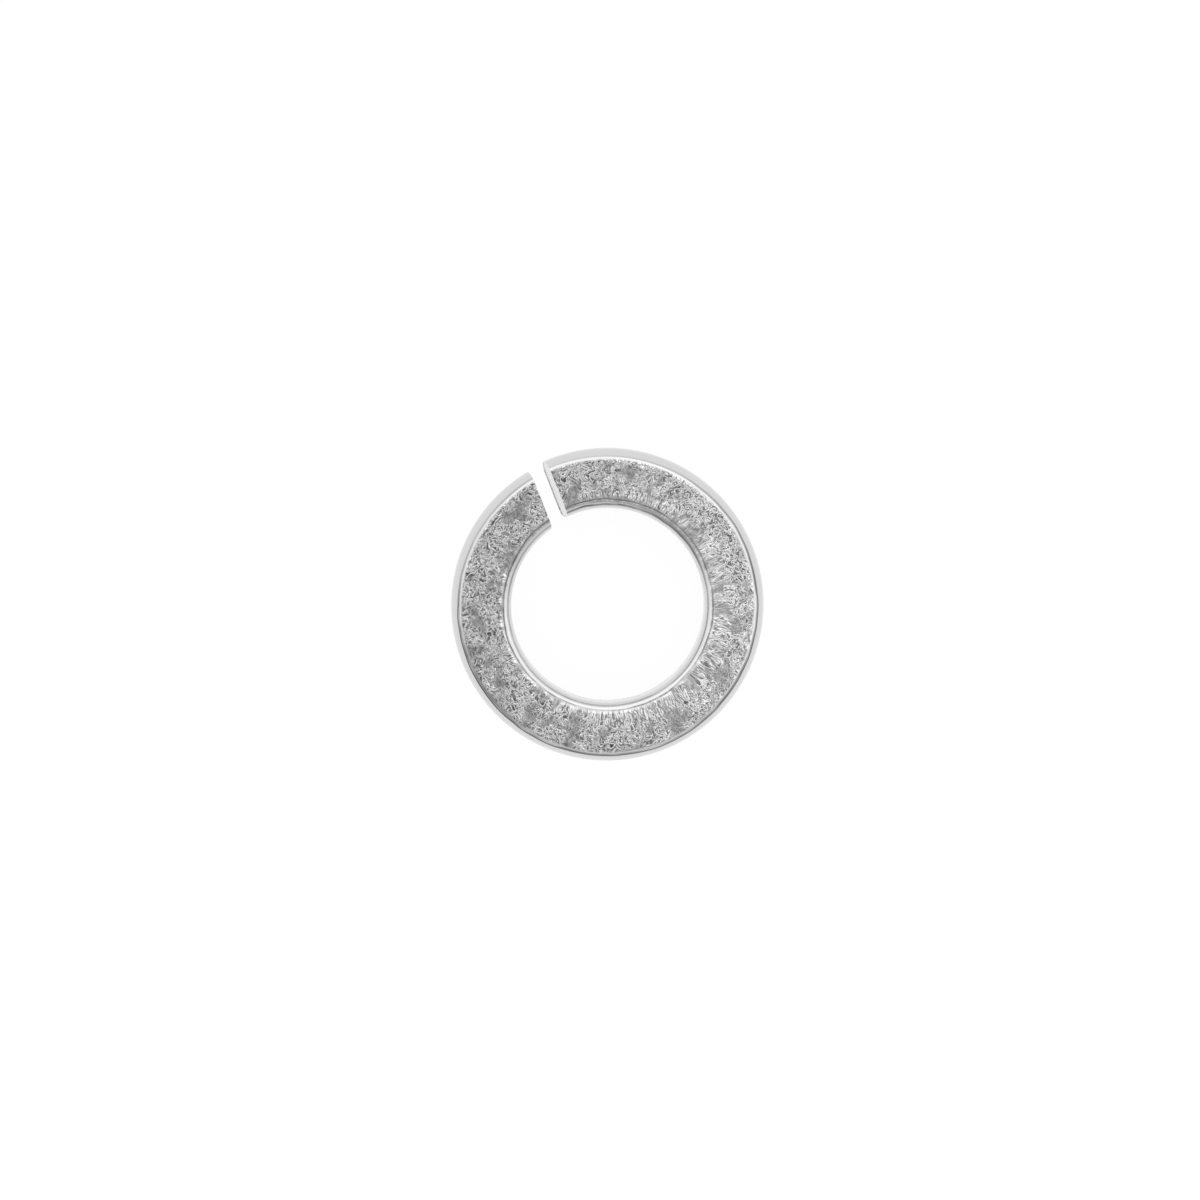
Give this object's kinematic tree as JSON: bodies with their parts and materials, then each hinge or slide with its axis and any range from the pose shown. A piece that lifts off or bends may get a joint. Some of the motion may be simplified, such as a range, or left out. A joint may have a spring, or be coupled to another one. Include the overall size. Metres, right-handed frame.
{
  "type": "spring lock washer",
  "caption": "Split spring lock washer coiled from flat-rolled wire as a left-hand helix, with rounded long edges and two slanted sheared ends.",
  "frame": {"origin": "on the bore's axis, level with the underside of the low end, which is the lowest point", "axes": "+Z along the bore's axis from the low end to the high end; -Y towards the split; +X to the side of the high end"},
  "size_m": [0.0262, 0.0262, 0.007],
  "materials": {
    "zinc_plated_steel": "bright zinc plating over rolled spring steel, satin and finely wrinkled on the two faces, smooth on the edges"
  },
  "bodies": {
    "root": {"spring_lock_washer": "zinc_plated_steel"}
  },
  "joints": []
}
